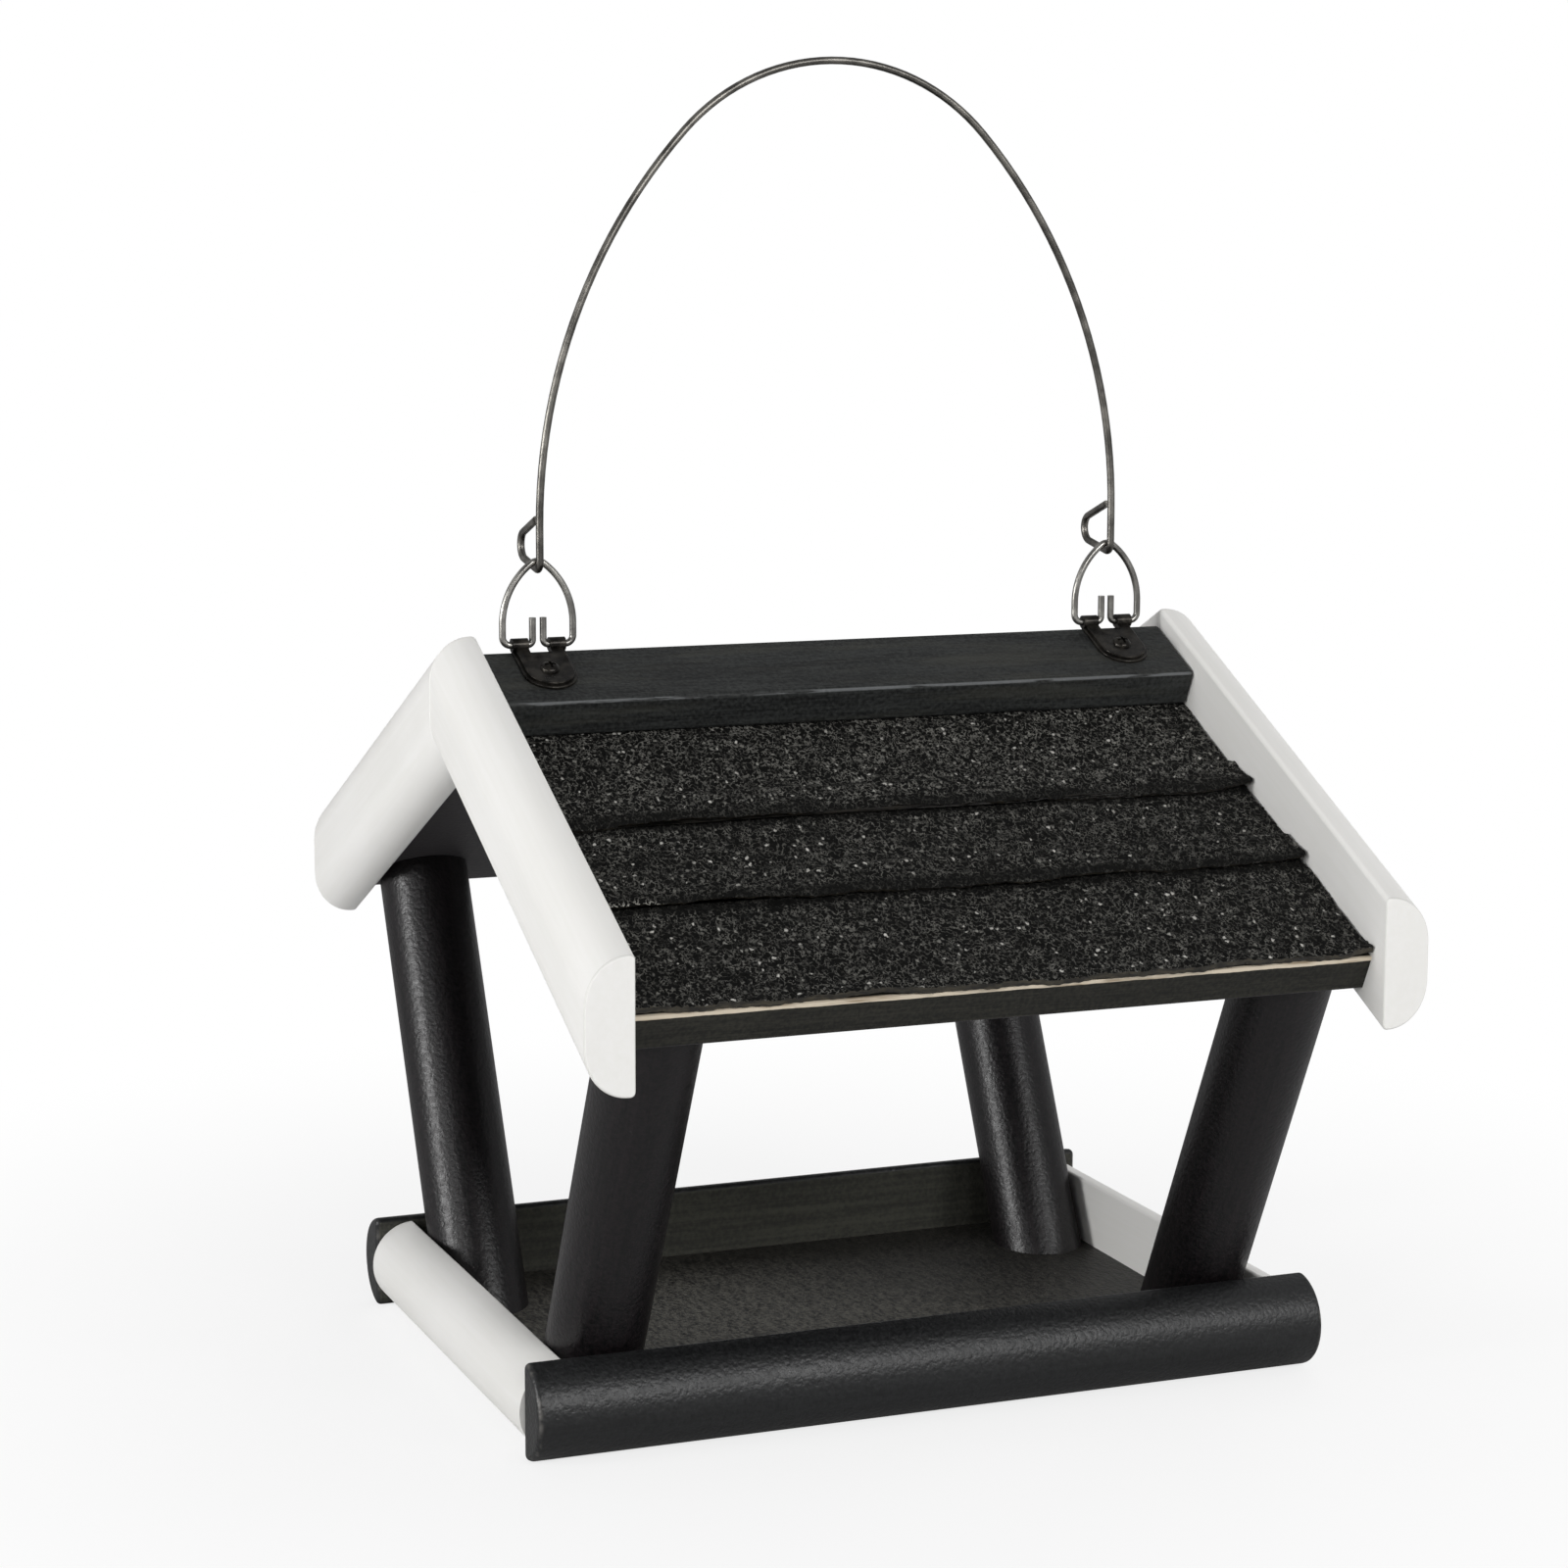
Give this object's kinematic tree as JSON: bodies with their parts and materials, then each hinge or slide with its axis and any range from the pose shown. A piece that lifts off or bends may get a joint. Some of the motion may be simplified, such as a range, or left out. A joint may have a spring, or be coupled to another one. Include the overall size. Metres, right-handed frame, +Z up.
{
  "type": "hanging bird feeder",
  "caption": "Small wooden house-shaped bird feeder: open seed tray on leaning round posts under a felted gable roof, hung from a hinged wire bail.",
  "frame": {"origin": "centre of the tray floor's underside, on the surface that the feeder stands on", "axes": "+X along the ridge to the right, +Y to the back, +Z up; the front, where the strap hangers are screwed on, is at -Y"},
  "size_m": [0.2468, 0.2748, 0.3831],
  "materials": {
    "black_stain": "black stained softwood, satin, grain showing",
    "white_paint": "off-white painted wood, satin",
    "roof_felt": "matt bitumen roofing felt with mineral granules",
    "bronzed_steel": "dark bronzed sheet steel, semi-gloss",
    "ring_wire": "bright drawn steel wire",
    "bail_wire": "grey drawn steel wire, dulled",
    "zinc_steel": "zinc plated",
    "bare_wood": "bare hardwood dowel"
  },
  "bodies": {
    "house": {"back_felt_eave": "roof_felt", "back_felt_middle": "roof_felt", "back_felt_top": "roof_felt", "back_left_barge": "white_paint", "back_left_post": "black_stain", "back_rail": "black_stain", "back_ridge_board": "black_stain", "back_right_barge": "white_paint", "back_right_post": "black_stain", "back_roof_panel": "black_stain", "barge_brads": "zinc_steel", "floor_brads": "zinc_steel", "front_felt_eave": "roof_felt", "front_felt_middle": "roof_felt", "front_felt_top": "roof_felt", "front_left_barge": "white_paint", "front_left_post": "black_stain", "front_rail": "black_stain", "front_ridge_board": "black_stain", "front_right_barge": "white_paint", "front_right_post": "black_stain", "front_roof_panel": "black_stain", "hanger_screws": "bronzed_steel", "left_hanger_strap": "bronzed_steel", "left_rail": "white_paint", "post_foot_screws": "zinc_steel", "post_head_screws": "zinc_steel", "rail_dowels": "bare_wood", "ridge_screws": "zinc_steel", "right_hanger_strap": "bronzed_steel", "right_rail": "white_paint", "tray_floor": "black_stain"},
    "left_ring": {"left_ring": "ring_wire"},
    "right_ring": {"right_ring": "ring_wire"},
    "bail": {"bail": "bail_wire"}
  },
  "joints": [
    {"name": "left_ring_swing", "type": "hinge", "parent": "house", "child": "left_ring", "pos_m": [-0.091, 0, 0.21548], "axis": [1, 0, 0], "range_deg": [-70, 90]},
    {"name": "right_ring_swing", "type": "hinge", "parent": "house", "child": "right_ring", "pos_m": [0.091, 0, 0.21548], "axis": [1, 0, 0], "range_deg": [-70, 90]},
    {"name": "bail_swing", "type": "hinge", "parent": "left_ring", "child": "bail", "pos_m": [-0.091, 0, 0.23948], "axis": [1, 0, 0], "range_deg": [-32, 32]}
  ],
  "couplings": [
    {"joint": "right_ring_swing", "follows": "left_ring_swing", "ratio": 1}
  ]
}
